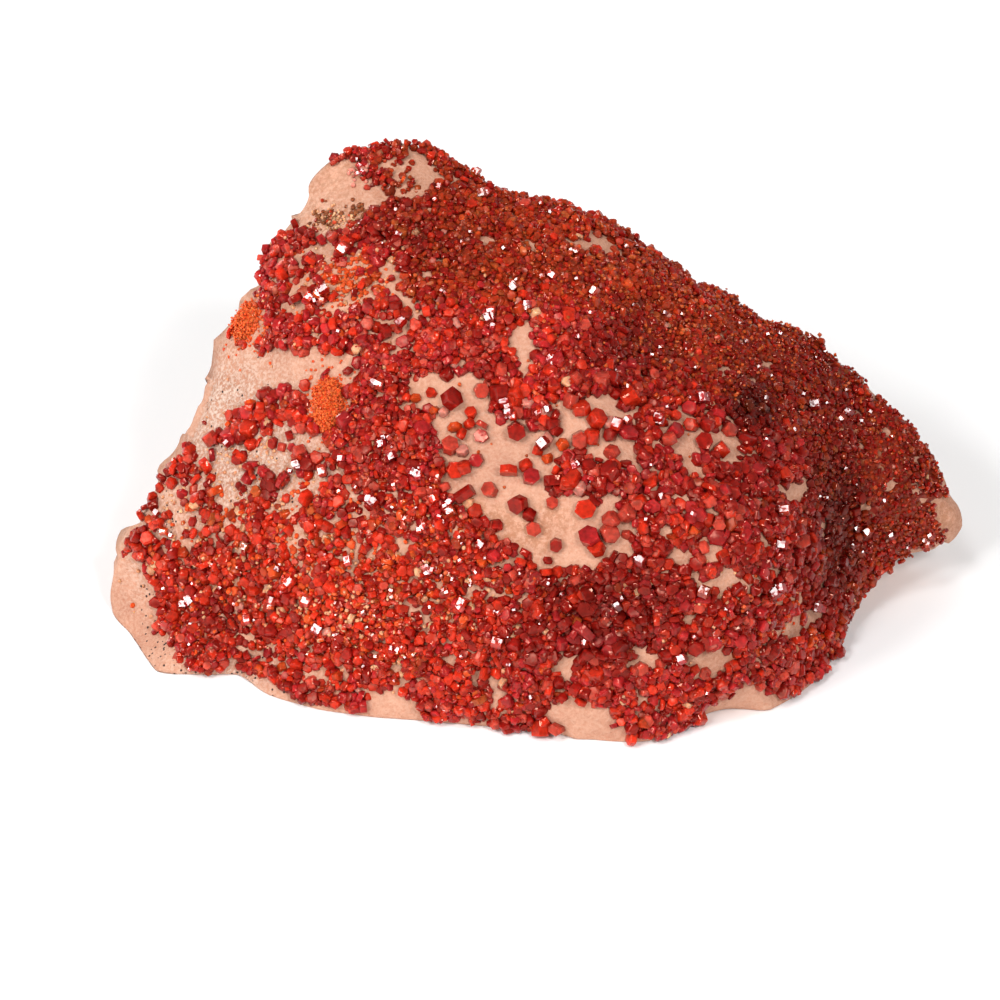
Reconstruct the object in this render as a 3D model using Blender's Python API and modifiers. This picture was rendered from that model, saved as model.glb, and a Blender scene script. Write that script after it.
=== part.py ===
"""Vanadinite druzy: red hexagonal crystals grown over a chunk of salmon-pink host rock.

The specimen stands on a flat underside and its crystal-covered front leans back. The front is
described in face coordinates, all in millimetres: u runs to the right, v runs up the leaning
face from its toe, and w stands straight out of the face. The rock is a subdivided cube blown up
to a ball and then fitted to the outline: one half of the ball becomes the front relief and the
other half becomes the underside and the broken back. The crust is a shell on that front with
hexagonal tablets joined to it, and the loose-standing crystals sit in its bare patches.
"""

import math
import random

import bmesh
import bpy
import numpy as np
from mathutils import Matrix, Vector, noise
from mathutils.bvhtree import BVHTree

MM = 0.001
FACE_LEAN = math.radians(35.0)      # how far the front leans back from upright
DIVISIONS = 12                      # rows of facets along each side of the starting cube
GAP = 0.35                          # clearance between neighbouring pieces
CRUST_THICKNESS = 1.7
CRUST_FOOT = 2.4                    # height above the ground where the crust ends
ROUGHNESS = 0.9                     # height of the small ledges on the front
BACK_ROUGHNESS = 2.6                # height of the fracture steps on the back
COARSE_CRYSTAL = 5.6                # corner to corner, on the hump and the lower right
MEDIUM_CRYSTAL = 4.6                # corner to corner, elsewhere
CRYSTAL_SPACING = 9.6

FACE_MIDDLE = (-8.0, 60.0)

# Outline of the rock seen square to its leaning face, anticlockwise from the right: u, v and
# the depth w of the edge. None marks an edge that stands on the ground.
OUTLINE = [
    (87.5, 53, -37), (83.5, 62, -38), (77.5, 69.5, -39), (68, 78.5, -40), (61, 84.5, -40),
    (52, 88.5, -39), (42.5, 93.5, -38), (32.5, 98.5, -36), (23.5, 104.5, -33), (14.5, 110.5, -31),
    (4, 114.5, -28), (-7, 116.5, -26), (-16, 121.5, -25), (-24, 126.5, -25), (-33, 127.5, -25),
    (-42.5, 125.5, -25), (-49.5, 118, -25), (-53, 111, -25), (-57.5, 104, -25), (-61, 94.5, -26),
    (-67.5, 84.5, -27), (-70, 74.5, -27), (-73.5, 65.5, -28), (-80, 57, -30), (-85.5, 47.5, -32),
    (-91, 37.5, -34), (-92.5, 27.5, None), (-88, 22.5, None), (-82, 15, None), (-73.5, 14, None),
    (-64.5, 14, None), (-57.5, 10, None), (-47, 7, None), (-36, 5.5, None), (-23, 4.5, None),
    (-10, 3.5, None), (1, 3, None), (8, 1, None), (23, 0.5, None), (30, 4, None), (39, 7, None),
    (49, 7, None), (56.5, 11, None), (61.5, 16, None), (67, 28, -35), (76.5, 38, -39), (86.5, 43, -40),
    (90.5, 47, -39),
]

# Spot heights of the front relief: u, v, w.
RELIEF = [
    (21, 9, 5), (-12, 11, 1), (-42, 13, -8), (-65, 22, -19), (-78, 30, -27), (-82, 43, -26),
    (-72, 51, -19), (-50, 39, -7), (-25, 30, 2), (4, 38, 9), (4, 20, 6), (30, 28, 8), (-15, 62, 5),
    (-30, 72, 1), (-4, 72, 4), (13, 72, 6), (8, 87, 1), (25, 83, -9), (34, 66, 1), (55, 72, -18),
    (46, 47, 4), (55, 39, -3), (64, 43, -23), (76, 56, -23), (82, 47, -30), (50, 22, -3),
    (61, 26, -19), (34, 94, -20), (55, 83, -28), (72, 68, -31), (4, 104, -11), (-8, 114, -16),
    (-30, 119, -16), (-44, 108, -14), (-50, 96, -11), (-63, 81, -19), (-44, 72, -5), (-67, 64, -19),
    (-40, 93, -5), (-19, 96, -3),
]

# Bare stone seen through the crust: outlines in u and v.
BARE_PATCHES = [
    # middle of the front
    [(-28, 75), (-22, 80), (-13, 80), (-6, 75), (1, 67), (7, 60), (14, 56), (17, 49), (16, 41), (4, 38),
     (-6, 41), (-15, 46), (-20, 53), (-22, 62), (-27, 69)],
    # right of the middle
    [(23, 67), (31, 71), (41, 69), (45, 64), (41, 58), (32, 59), (25, 61)],
    # lower left corner
    [(-96, 42), (-86, 40), (-80, 33), (-80, 24), (-75, 17), (-72, 4), (-96, 4)],
    # left edge
    [(-86, 70), (-74, 68), (-66, 67), (-59, 72), (-57, 79), (-60, 86), (-66, 90), (-80, 90)],
    # upper left shoulder
    [(-62, 107), (-50, 107), (-42, 108), (-35, 112), (-34, 119), (-38, 124), (-44, 132), (-62, 130)],
    # two pockets on the left
    [(-44, 78), (-40, 82), (-36, 79), (-38, 74), (-43, 74)],
    [(-51, 63), (-47, 66), (-44, 63), (-46, 59), (-50, 59)],
]

# Orange tufts: u, v, half width, half height, stand-out and turn in degrees.
ORANGE_TUFTS = {
    "orange_cluster_upper": (-62, 89.5, 3.6, 4.1, 2.2, 10),
    "orange_cluster_lower": (-44.5, 71.5, 3.3, 5.4, 2.2, 20),
}

# Crystals that stand alone on bare stone: u, v, corner to corner, height, tilt and its bearing.
LONE_CRYSTALS = [
    (-18.5, 72.4, 4.9, 2.4, 42, 120), (-12.4, 74.3, 3.8, 2.2, 20, 40), (-14.5, 69.5, 2.9, 1.8, 25, 200),
    (-12.2, 64.6, 3.4, 1.9, 15, 300), (-4.8, 65.6, 4.4, 2.6, 25, 20), (-18.7, 62.6, 4.0, 2.4, 30, 160),
    (-17.6, 57.6, 4.2, 2.6, 25, 80), (-13.2, 59.6, 3.2, 1.8, 20, 330), (-15.6, 52.4, 3.2, 4.2, 80, 130),
    (-10.4, 53.4, 3.6, 2.2, 20, 240), (-6.4, 57.2, 4.6, 1.6, 82, 5), (-1.8, 56.0, 3.8, 2.2, 20, 100),
    (-4.4, 50.4, 4.4, 2.6, 30, 310), (-1.4, 45.5, 3.6, 2.2, 15, 60), (9.5, 49.3, 4.8, 2.4, 8, 90),
    (10.6, 43.6, 5.0, 2.6, 25, 210), (3.4, 42.0, 3.2, 1.8, 25, 30), (2.6, 50.6, 3.0, 1.8, 20, 150),
    (-22.6, 73.8, 2.6, 1.6, 20, 250), (28.2, 65.4, 3.8, 2.2, 20, 70), (34.0, 63.0, 4.2, 2.4, 30, 280),
    (39.6, 65.6, 3.6, 2.0, 20, 10),
]
UNEVENNESS = 0.17                   # most that a lone crystal's corner is drawn in, as a share

# Broken back: bearing of each fracture plane from straight back, its rise, and its distance.
FRACTURES = [(-52, 4, 97), (-28, 6, 101), (2, 6, 98), (17, 8, 90), (50, 4, 106)]


def to_space(u, v, w):
    """Turn face coordinates in millimetres into a point in metres."""
    y = v * math.sin(FACE_LEAN) - w * math.cos(FACE_LEAN)
    z = v * math.cos(FACE_LEAN) + w * math.sin(FACE_LEAN)
    return Vector((u, y, z)) * MM


def ground_depth(v):
    """Depth w at which the face coordinate v meets the ground."""
    return -v / math.tan(FACE_LEAN)


def thin_plate(spots):
    """Smooth sheet through all spot heights, as a function of u and v."""
    spots = np.array(spots, dtype=float)
    places = spots[:, :2]
    count = len(spots)

    def kernel(distance):
        return distance**2 * np.log(np.maximum(distance, 1e-9))

    between = np.linalg.norm(places[:, None] - places[None], axis=2)
    plane = np.column_stack([np.ones(count), places])
    system = np.block([[kernel(between), plane], [plane.T, np.zeros((3, 3))]])
    weights = np.linalg.solve(system, np.append(spots[:, 2], np.zeros(3)))

    def height(u, v):
        reach = kernel(np.hypot(places[:, 0] - u, places[:, 1] - v))
        return float(reach @ weights[:count] + weights[count:] @ (1.0, u, v))

    return height


def outline_at(turn):
    """Edge point at a share of the way round the outline, straight between neighbours."""
    place = (turn * len(OUTLINE)) % len(OUTLINE)
    first = OUTLINE[int(place)]
    second = OUTLINE[(int(place) + 1) % len(OUTLINE)]
    share = place - int(place)
    ends = [(u, v, ground_depth(v) if w is None else w) for u, v, w in (first, second)]
    return [a + (b - a) * share for a, b in zip(*ends)]


def back_depth(u, v):
    """Depth of the underside or of the fracture plane that lies in front of it."""
    lean_sin, lean_cos = math.sin(FACE_LEAN), math.cos(FACE_LEAN)
    depth = ground_depth(v)
    for bearing, rise, distance in FRACTURES:
        bearing, rise = math.radians(bearing), math.radians(rise)
        nx = math.sin(bearing) * math.cos(rise)
        ny = math.cos(bearing) * math.cos(rise)
        nz = math.sin(rise)
        along = nx * u + ny * v * lean_sin + nz * v * lean_cos - distance
        depth = max(depth, along / (ny * lean_cos - nz * lean_sin))
    return depth


def rough(point, size, height):
    """Signed stone roughness at a point, in millimetres."""
    return height * noise.fractal(Vector(point) / size, 1.0, 2.0, 3)


def rock_point(direction, relief):
    """Place one vertex of the ball on the rock. Returns its u, v, w and its ring."""
    x, y, z = (math.tan(axis * math.pi / 4) for axis in direction)
    tilt = math.atan2(math.hypot(x, y), z)
    front = tilt <= math.pi / 2 + 1e-6
    ring = min(tilt, math.pi - tilt) / (math.pi / 2)
    turn = (math.atan2(y, x) / (2 * math.pi)) % 1.0
    edge_u, edge_v, edge_w = outline_at(turn)
    u = FACE_MIDDLE[0] + (edge_u - FACE_MIDDLE[0]) * ring
    v = FACE_MIDDLE[1] + (edge_v - FACE_MIDDLE[1]) * ring
    roll = math.sqrt(max(0.0, 1.0 - ring**9))    # falls off steeply near the edge
    if front:
        w = edge_w + (max(relief(u, v), edge_w + 2.0) - edge_w) * roll
        w += rough((u, v, 0.0), 14.0, ROUGHNESS) * roll
    else:
        floor = back_depth(u, v)
        w = edge_w + (floor - edge_w) * roll
        if floor > ground_depth(v) + 0.5:
            w += rough((u, v, 40.0), 17.0, BACK_ROUGHNESS) * roll
    w = max(w, ground_depth(v))
    return (u, v, w), ring if front else 2.0 - ring


def object_from(bm, name, collection):
    """Make an object from a bmesh and free the bmesh."""
    mesh = bpy.data.meshes.new(name)
    bm.to_mesh(mesh)
    bm.free()
    thing = bpy.data.objects.new(name, mesh)
    collection.objects.link(thing)
    return thing


def as_cutter(thing):
    """Mark an object as a cutter or a guide, which isn't a piece of the specimen."""
    thing.hide_render = True
    thing.display_type = "WIRE"
    return thing


def apply_boolean(thing, other, operation):
    """Join or cut a piece with another object and keep the result as its mesh."""
    boolean = thing.modifiers.new(operation.lower(), "BOOLEAN")
    boolean.operation = operation
    boolean.solver = "EXACT"
    boolean.use_self = True
    boolean.object = other
    bake(thing)


def bake(thing):
    """Replace a piece's mesh by what its modifiers make of it."""
    bpy.context.view_layer.update()
    evaluated = thing.evaluated_get(bpy.context.evaluated_depsgraph_get())
    mesh = bpy.data.meshes.new_from_object(evaluated)
    thing.modifiers.clear()
    thing.data = mesh


def bvh_of(thing):
    """Search tree of an object's faces."""
    bm = bmesh.new()
    bm.from_mesh(thing.data)
    tree = BVHTree.FromBMesh(bm)
    bm.free()
    return tree


def make_rock(relief, collection):
    """The host rock, and the ring of each vertex: 0 mid front, 1 on the edge, 2 mid back."""
    bm = bmesh.new()
    bmesh.ops.create_cube(bm, size=2.0)
    bmesh.ops.subdivide_edges(bm, edges=bm.edges[:], cuts=DIVISIONS - 1, use_grid_fill=True)
    rings = []
    for vertex in bm.verts:
        place, ring = rock_point(vertex.co, relief)
        vertex.co = to_space(*place)
        rings.append(ring)
    bmesh.ops.triangulate(bm, faces=bm.faces[:], quad_method="SHORT_EDGE")
    bm.normal_update()
    return object_from(bm, "matrix", collection), rings


def grown_copy(rock, distance, name, collection):
    """Copy of the rock with each vertex moved out along its normal, further on sharp edges."""
    bm = bmesh.new()
    bm.from_mesh(rock.data)
    bm.normal_update()
    moves = [vertex.normal * min(vertex.calc_shell_factor(), 3.0) for vertex in bm.verts]
    for vertex, move in zip(bm.verts, moves):
        vertex.co += move * distance * MM
    return object_from(bm, name, collection)


def make_crust_shell(grown, rings, collection):
    """Shell of even thickness over the front, standing clear of the rock."""
    bm = bmesh.new()
    bm.from_mesh(grown.data)
    behind = [face for face in bm.faces if sum(rings[vertex.index] for vertex in face.verts) > 3.0]
    bmesh.ops.delete(bm, geom=behind, context="FACES")
    shell = object_from(bm, "vanadinite_crust", collection)
    solidify = shell.modifiers.new("thickness", "SOLIDIFY")
    solidify.thickness = CRUST_THICKNESS * MM
    solidify.offset = 1.0
    bake(shell)
    return shell


def ground_cutter(collection):
    """Slab that trims the crust a little above the ground."""
    bm = bmesh.new()
    bmesh.ops.create_cube(bm, size=1.0, matrix=Matrix.Diagonal((0.3, 0.3, 0.02, 1.0)))
    bmesh.ops.translate(bm, verts=bm.verts, vec=(0.0, 0.04, CRUST_FOOT * MM - 0.01))
    return as_cutter(object_from(bm, "ground_trim", collection))


def patch_cutter(outline, name, collection):
    """Straight-sided cutter through the front along w, with the given u, v outline."""
    bm = bmesh.new()
    count = len(outline)
    bmesh.ops.create_cone(bm, cap_ends=True, segments=count, radius1=1.0, radius2=1.0, depth=2.0)
    middle_u = sum(u for u, v in outline) / count
    middle_v = sum(v for u, v in outline) / count
    order = sorted(outline, key=lambda spot: math.atan2(spot[1] - middle_v, spot[0] - middle_u))
    rims = [[vertex for vertex in bm.verts if vertex.co.z * level > 0] for level in (-1, 1)]
    for rim, w in zip(rims, (-60.0, 40.0)):
        rim.sort(key=lambda vertex: math.atan2(vertex.co.y, vertex.co.x))
        for vertex, (u, v) in zip(rim, order):
            vertex.co = to_space(u, v, w)
    bmesh.ops.recalc_face_normals(bm, faces=bm.faces[:])
    return as_cutter(object_from(bm, name, collection))


def ellipse(u, v, half_width, half_height, turn, count=14):
    """Points round an ellipse that is turned in the face."""
    turn = math.radians(turn)
    points = []
    for step in range(count):
        angle = 2 * math.pi * step / count
        a, b = half_width * math.cos(angle), half_height * math.sin(angle)
        points.append((u + a * math.cos(turn) - b * math.sin(turn),
                       v + a * math.sin(turn) + b * math.cos(turn)))
    return points


def surface_at(tree, u, v):
    """Point and normal where a line straight into the face meets a surface, or None."""
    start = to_space(u, v, 80.0)
    into = (to_space(0, 0, -1) - to_space(0, 0, 0)).normalized()
    place, normal, _, _ = tree.ray_cast(start, into)
    return (place, normal) if place else None


def tablet_frame(place, normal, tilt, bearing, spin):
    """Placement of a hexagonal tablet whose axis leans away from the surface normal."""
    upright = normal.to_track_quat("Z", "Y").to_matrix()
    lean = Matrix.Rotation(bearing, 3, "Z") @ Matrix.Rotation(tilt, 3, "X")
    turn = upright @ lean @ Matrix.Rotation(spin, 3, "Z")
    return Matrix.Translation(place) @ turn.to_4x4()


def add_tablet(bm, frame, width, height, uneven=(0.0,) * 6):
    """Hexagonal tablet, corner to corner width, centred on its frame. Each upright edge is drawn
    in by its share in uneven."""
    verts = bmesh.ops.create_cone(
        bm, cap_ends=True, segments=6, radius1=width / 2 * MM, radius2=width / 2 * MM,
        depth=height * MM)["verts"]
    first = math.atan2(verts[0].co.y, verts[0].co.x)
    for vertex in verts:
        turn = math.atan2(vertex.co.y, vertex.co.x) - first
        reach = 1.0 - uneven[round(turn / (math.pi / 3)) % 6]
        vertex.co = (vertex.co.x * reach, vertex.co.y * reach, vertex.co.z)
    bmesh.ops.transform(bm, matrix=frame, verts=verts)
    return verts


def tree_of_tablet(verts):
    """Search tree of one tablet's faces."""
    faces = {face for vertex in verts for face in vertex.link_faces}
    numbers = {vertex: number for number, vertex in enumerate(verts)}
    corners = [[numbers[vertex] for vertex in face.verts] for face in faces]
    return BVHTree.FromPolygons([vertex.co for vertex in verts], corners)


def clearance(verts, tree):
    """Smallest height of some vertices above the rock, in millimetres."""
    heights = []
    for vertex in verts:
        near, normal, _, _ = tree.find_nearest(vertex.co)
        heights.append((vertex.co - near).dot(normal) / MM)
    return min(heights)


def is_coarse(u, v):
    """Whether a spot lies on the hump or the lower right, where the crystals are largest."""
    return math.hypot((u - 32) / 34, (v - 38) / 36) < 1.0


def is_taken(u, v, width):
    """Whether a tablet here would touch a lone crystal or a tuft."""
    for lone_u, lone_v, lone_width, _, _, _ in LONE_CRYSTALS:
        if math.hypot(u - lone_u, v - lone_v) < (width + lone_width) / 2 + 0.8:
            return True
    for tuft_u, tuft_v, half_width, half_height, _, _ in ORANGE_TUFTS.values():
        if math.hypot(u - tuft_u, v - tuft_v) < width / 2 + max(half_width, half_height) + 1.2:
            return True
    return False


def make_crust_crystals(shell, rock_tree, chance, collection):
    """Tablets set into the crust on a jittered triangular grid, as one object to be joined."""
    shell_tree = bvh_of(shell)
    outward = (to_space(0, 0, 1) - to_space(0, 0, 0)).normalized()
    bm = bmesh.new()
    row = 0
    v = 4.0
    while v < 130.0:
        u = -92.0 + (row % 2) * CRYSTAL_SPACING / 2
        while u < 92.0:
            spot_u = u + chance.uniform(-1.9, 1.9)
            spot_v = v + chance.uniform(-1.9, 1.9)
            u += CRYSTAL_SPACING
            usual = COARSE_CRYSTAL if is_coarse(spot_u, spot_v) else MEDIUM_CRYSTAL
            width = usual * chance.uniform(0.85, 1.15)
            height = width * chance.uniform(0.4, 0.55)
            tilt = math.radians(chance.uniform(8, 55))
            bearing = chance.uniform(0, 2 * math.pi)
            spin = chance.uniform(0, math.pi / 3)
            hits = [surface_at(shell_tree, spot_u + du, spot_v + dv)
                    for du, dv in ((0, 0), (2.6, 0), (-2.6, 0), (0, 2.6), (0, -2.6))]
            if not all(hits) or is_taken(spot_u, spot_v, width):
                continue
            place, normal = hits[0]
            near, _, _, _ = rock_tree.find_nearest(place)
            if normal.dot(outward) < 0.15 or (place - near).length > (CRUST_THICKNESS + GAP + 0.6) * MM:
                continue
            frame = tablet_frame(place, normal, tilt, bearing, spin)
            verts = add_tablet(bm, frame, width, height)
            lift = GAP + 0.25 - clearance(verts, rock_tree)
            bmesh.ops.translate(bm, verts=verts, vec=normal * lift * MM)
            too_low = min(vertex.co.z for vertex in verts) < 0.6 * MM
            if too_low or rock_tree.overlap(tree_of_tablet(verts)):
                bmesh.ops.delete(bm, geom=verts, context="VERTS")
        v += CRYSTAL_SPACING * math.sin(math.pi / 3)
        row += 1
    return as_cutter(object_from(bm, "crust_crystals", collection))


def keep_largest(thing):
    """Drop loose crumbs that the cutting leaves."""
    bm = bmesh.new()
    bm.from_mesh(thing.data)
    left = set(bm.verts)
    islands = []
    while left:
        island, reach = set(), [left.pop()]
        while reach:
            vertex = reach.pop()
            island.add(vertex)
            for edge in vertex.link_edges:
                other = edge.other_vert(vertex)
                if other in left:
                    left.remove(other)
                    reach.append(other)
        islands.append(island)
    islands.sort(key=len)
    for island in islands[:-1]:
        bmesh.ops.delete(bm, geom=list(island), context="VERTS")
    bm.to_mesh(thing.data)
    bm.free()


def make_lone_crystal(name, spec, rock_tree, grown, chance, collection):
    """One uneven crystal standing alone, its foot cut to the stone below it."""
    u, v, width, height, tilt, bearing = spec
    place, normal = surface_at(rock_tree, u, v)
    bm = bmesh.new()
    spin = chance.uniform(0, math.pi / 3)
    frame = tablet_frame(place, normal, math.radians(tilt), math.radians(bearing), spin)
    uneven = [chance.uniform(0.0, UNEVENNESS) for _ in range(6)]
    verts = add_tablet(bm, frame, width, height, uneven)
    sink = clearance(verts, rock_tree) + 0.7
    bmesh.ops.translate(bm, verts=verts, vec=-normal * sink * MM)
    crystal = object_from(bm, name, collection)
    apply_boolean(crystal, grown, "DIFFERENCE")
    keep_largest(crystal)
    return crystal


def make_orange_tuft(name, spec, rock_tree, grown, chance, collection):
    """Low granular mound of fine crystals, its foot cut to the stone below it."""
    u, v, half_width, half_height, stand_out, turn = spec
    place, normal = surface_at(rock_tree, u, v)
    frame = tablet_frame(place, normal, 0.0, math.radians(turn), 0.0)
    bm = bmesh.new()
    bmesh.ops.create_icosphere(bm, subdivisions=2, radius=1.0)
    for vertex in bm.verts:
        grain = chance.uniform(0.84, 1.06)
        x, y, z = vertex.co * grain
        vertex.co = frame @ (Vector((x * half_width, y * half_height, z * stand_out)) * MM)
    tuft = object_from(bm, name, collection)
    apply_boolean(tuft, grown, "DIFFERENCE")
    keep_largest(tuft)
    return tuft


def material(name, colour, roughness):
    """Plain Principled material; colour is linear."""
    made = bpy.data.materials.new(name)
    made.use_nodes = True
    shader = made.node_tree.nodes["Principled BSDF"]
    shader.inputs["Base Color"].default_value = (*colour, 1.0)
    shader.inputs["Roughness"].default_value = roughness
    shader.inputs["Metallic"].default_value = 0.0
    return made


def centre(pieces):
    """Move everything so that the middle of its footprint is the origin."""
    corners = [vertex.co for piece in pieces for vertex in piece.data.vertices]
    low = Vector(min(corner[axis] for corner in corners) for axis in range(3))
    high = Vector(max(corner[axis] for corner in corners) for axis in range(3))
    shift = Matrix.Translation((-(low.x + high.x) / 2, -(low.y + high.y) / 2, -low.z))
    for piece in pieces:
        piece.data.transform(shift)


def main():
    for thing in list(bpy.data.objects):
        bpy.data.objects.remove(thing, do_unlink=True)
    parts = bpy.data.collections.new("vanadinite_druzy")
    cutters = bpy.data.collections.new("cutters")
    for collection in (parts, cutters):
        bpy.context.scene.collection.children.link(collection)
    chance = random.Random(7)

    rock, rings = make_rock(thin_plate(RELIEF), parts)
    rock_tree = bvh_of(rock)
    grown = as_cutter(grown_copy(rock, GAP, "rock_clearance", cutters))

    crust = make_crust_shell(grown, rings, parts)
    apply_boolean(crust, ground_cutter(cutters), "DIFFERENCE")
    for number, outline in enumerate(BARE_PATCHES, 1):
        apply_boolean(crust, patch_cutter(outline, f"bare_patch_{number}", cutters), "DIFFERENCE")
    for name, (u, v, half_width, half_height, _, turn) in ORANGE_TUFTS.items():
        outline = ellipse(u, v, half_width + 0.7, half_height + 0.7, turn)
        apply_boolean(crust, patch_cutter(outline, f"{name}_hole", cutters), "DIFFERENCE")
    keep_largest(crust)
    crystals = make_crust_crystals(crust, rock_tree, chance, cutters)
    apply_boolean(crust, crystals, "UNION")
    keep_largest(crust)

    tufts = [make_orange_tuft(name, spec, rock_tree, grown, chance, parts)
             for name, spec in ORANGE_TUFTS.items()]
    lone = [make_lone_crystal(f"crystal_{number:02d}", spec, rock_tree, grown, chance, parts)
            for number, spec in enumerate(LONE_CRYSTALS, 1)]

    rock.data.materials.append(material("salmon_stone", (0.76, 0.40, 0.27), 0.85))
    crust.data.materials.append(material("red_vanadinite", (0.42, 0.015, 0.008), 0.25))
    orange = material("orange_vanadinite", (0.80, 0.10, 0.015), 0.4)
    for tuft in tufts:
        tuft.data.materials.append(orange)
    single = material("clear_red_vanadinite", (0.50, 0.02, 0.01), 0.2)
    for crystal in lone:
        crystal.data.materials.append(single)
    centre([rock, crust, *tufts, *lone])


main()
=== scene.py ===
"""Vanadinite druzy, finished for its picture.

Salmon-pink host rock, a granular red bed over its leaning front, and thousands of small
hexagonal crystals growing out of that bed. Every shape is worked out as whole arrays. Places on
the front are given in face coordinates, in millimetres: u to the right, v up the leaning face
and w straight out of it.
"""

import math

import bpy
import numpy as np
from mathutils import Matrix, Vector


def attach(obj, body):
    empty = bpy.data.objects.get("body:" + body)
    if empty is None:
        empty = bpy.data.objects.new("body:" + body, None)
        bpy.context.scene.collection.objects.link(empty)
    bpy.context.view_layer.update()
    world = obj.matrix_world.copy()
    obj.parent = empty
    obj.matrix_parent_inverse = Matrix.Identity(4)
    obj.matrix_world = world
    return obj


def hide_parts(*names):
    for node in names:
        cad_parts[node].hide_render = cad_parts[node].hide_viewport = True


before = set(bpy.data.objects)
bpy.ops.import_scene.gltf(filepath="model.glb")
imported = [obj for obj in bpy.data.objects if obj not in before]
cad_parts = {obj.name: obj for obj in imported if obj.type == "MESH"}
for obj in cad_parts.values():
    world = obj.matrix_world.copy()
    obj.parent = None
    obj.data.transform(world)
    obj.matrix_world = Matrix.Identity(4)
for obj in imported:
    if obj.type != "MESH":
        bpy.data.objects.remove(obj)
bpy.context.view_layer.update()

# Lengths are in mm, and in metres where they are multiplied by MM.
MM = 0.001
FACE_LEAN = math.radians(35.0)  # how far the front leans back from upright
FACE_FOOT = (0.19, -48.48)      # x and y, in mm, where u = 0 and v = 0 touch the ground
LEAN_SIN, LEAN_COS = math.sin(FACE_LEAN), math.cos(FACE_LEAN)
FACE_OUT = np.array((0.0, -LEAN_COS, LEAN_SIN))
FLOOR_GAP = 0.2 * MM            # crystals stay this far above the ground, and the floor below

STONE_ROWS = 9                  # rows of small triangles in each facet of the rock
BED_ROWS = 8                    # the same for the granular bed
TUFT_ROWS = 3                   # the same for the domes of the tufts
LATTICE = 64                    # random values along each side of the noise lattice
FRONT_RELIEF = 0.18             # height of the uneven front
LUMP_HEIGHT = 0.35              # height of the lumps on the back
CHIPS = 300                     # chips broken off all round the rock
CHIP_RADIUS = 26.0              # the squared distance over this is a chip's depth
CHIP_TILT = 0.3                 # steepest lean of a chip, along each axis
BACK_DEPTH = 2.0                # depth at which a chip meets the CAD's back

BED_HEIGHT = 0.9                # height of the bed over the rock
BED_ROOT = 0.8                  # how deep the bed's back lies in the rock
BED_RIM = 0.2                   # how deep the bed's edge lies in the rock
BED_FOOT = 1.2 * MM             # the bed ends at this height above the ground
FRONT_TURN = 0.12               # on the front, normals have a larger share than this along FACE_OUT
OPEN_COVER = 1.25               # cover far from loose spots and bare patches
PATCH_COVER = 0.64              # cover on the edge of a bare patch
PATCH_FADE = 3.6                # distance over which cover grows by 1 from a bare patch
TUFT_COVER = 0.5                # cover on the edge of a tuft's room
BED_COVER = 0.34                # cover at which the bed starts
SPARKLE_COVER = 0.35            # cover at which small sparkling crystals stand
SEEDS = 160000                  # places where a crystal may grow
SMALLEST = 1.1                  # smallest size that a crystal is drawn from
LONE_BEVEL = 0.16 * MM
LONE_TONES = ("deep", "rose", "bright", "crimson")

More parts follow.
